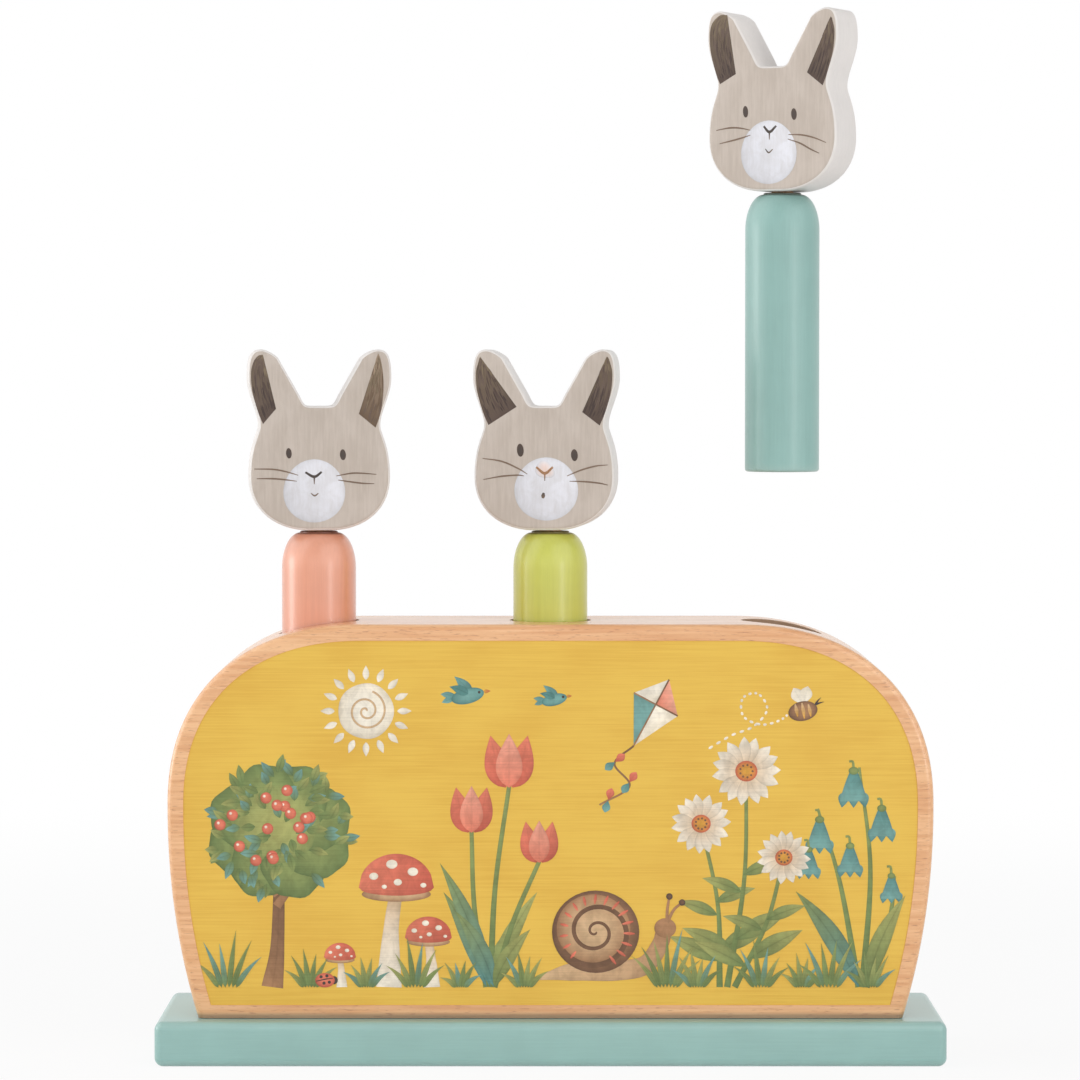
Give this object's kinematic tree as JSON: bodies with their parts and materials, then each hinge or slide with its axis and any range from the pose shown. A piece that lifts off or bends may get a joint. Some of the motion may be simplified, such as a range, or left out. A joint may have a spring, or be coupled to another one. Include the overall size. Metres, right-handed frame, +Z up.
{
  "type": "pop up animal toy",
  "caption": "Wooden pop up toy: rabbit-headed pegs stand on hidden springs in a loaf-shaped block, where they press down, turn round and pull out.",
  "frame": {"origin": "middle of the base board's underside", "axes": "+X to the right as the printed front is seen, +Y to the back, +Z up along the pegs"},
  "size_m": [0.21, 0.06, 0.281],
  "materials": {
    "beech_wood": "sanded beech under a thin clear satin coat",
    "mint_paint": "mint paint on wood, satin",
    "coral_paint": "coral paint on wood, satin to gloss",
    "lime_paint": "lime green paint on wood, satin to gloss",
    "cream_paint": "cream paint on wood with a printed matt face",
    "yellow_print": "printed thin wooden sheet, yellow ground, satin",
    "spring_steel": "drawn steel wire",
    "screw_steel": "zinc plated",
    "white_nylon": "moulded white nylon"
  },
  "bodies": {
    "housing": {"base_board": "mint_paint", "body_block": "beech_wood", "front_panel": "yellow_print", "base_screw_1": "screw_steel", "base_screw_2": "screw_steel", "base_screw_3": "screw_steel", "base_screw_4": "screw_steel", "left_spring_seat": "beech_wood", "middle_spring_seat": "beech_wood", "right_spring_seat": "beech_wood", "left_seat_screw": "screw_steel", "middle_seat_screw": "screw_steel", "right_seat_screw": "screw_steel"},
    "left_spring": {"left_spring": "spring_steel"},
    "middle_spring": {"middle_spring": "spring_steel"},
    "right_spring": {"right_spring": "spring_steel"},
    "left_cap": {"left_spring_cap": "white_nylon"},
    "middle_cap": {"middle_spring_cap": "white_nylon"},
    "right_cap": {"right_spring_cap": "white_nylon"},
    "left_peg": {"left_peg": "coral_paint", "left_neck_pin": "beech_wood", "left_head": "cream_paint"},
    "middle_peg": {"middle_peg": "lime_paint", "middle_neck_pin": "beech_wood", "middle_head": "cream_paint"},
    "right_peg": {"right_peg": "mint_paint", "right_neck_pin": "beech_wood", "right_head": "cream_paint"}
  },
  "joints": [
    {"name": "left_press", "type": "slide", "parent": "housing", "child": "left_spring", "axis": [0, 0, 1], "range_m": [-0.0239, 0], "stiffness_N_per_m": 180, "springref_m": 0.004, "deforming": ["left_spring"]},
    {"name": "left_turn", "type": "hinge", "parent": "left_spring", "child": "left_cap", "pos_m": [-0.0625, 0, 0.0658], "axis": [0, 0, 1], "continuous": true},
    {"name": "left_lift", "type": "slide", "parent": "left_cap", "child": "left_peg", "axis": [0, 0, 1], "range_m": [0, 0.11]},
    {"name": "middle_press", "type": "slide", "parent": "housing", "child": "middle_spring", "axis": [0, 0, 1], "range_m": [-0.0239, 0], "stiffness_N_per_m": 180, "springref_m": 0.004, "deforming": ["middle_spring"]},
    {"name": "middle_turn", "type": "hinge", "parent": "middle_spring", "child": "middle_cap", "pos_m": [0, 0, 0.0658], "axis": [0, 0, 1], "continuous": true},
    {"name": "middle_lift", "type": "slide", "parent": "middle_cap", "child": "middle_peg", "axis": [0, 0, 1], "range_m": [0, 0.11]},
    {"name": "right_press", "type": "slide", "parent": "housing", "child": "right_spring", "axis": [0, 0, 1], "range_m": [-0.0239, 0], "stiffness_N_per_m": 180, "springref_m": 0.004, "deforming": ["right_spring"]},
    {"name": "right_turn", "type": "hinge", "parent": "right_spring", "child": "right_cap", "pos_m": [0.0625, 0, 0.0658], "axis": [0, 0, 1], "continuous": true},
    {"name": "right_lift", "type": "slide", "parent": "right_cap", "child": "right_peg", "axis": [0, 0, 1], "range_m": [-0.091, 0.019]}
  ]
}
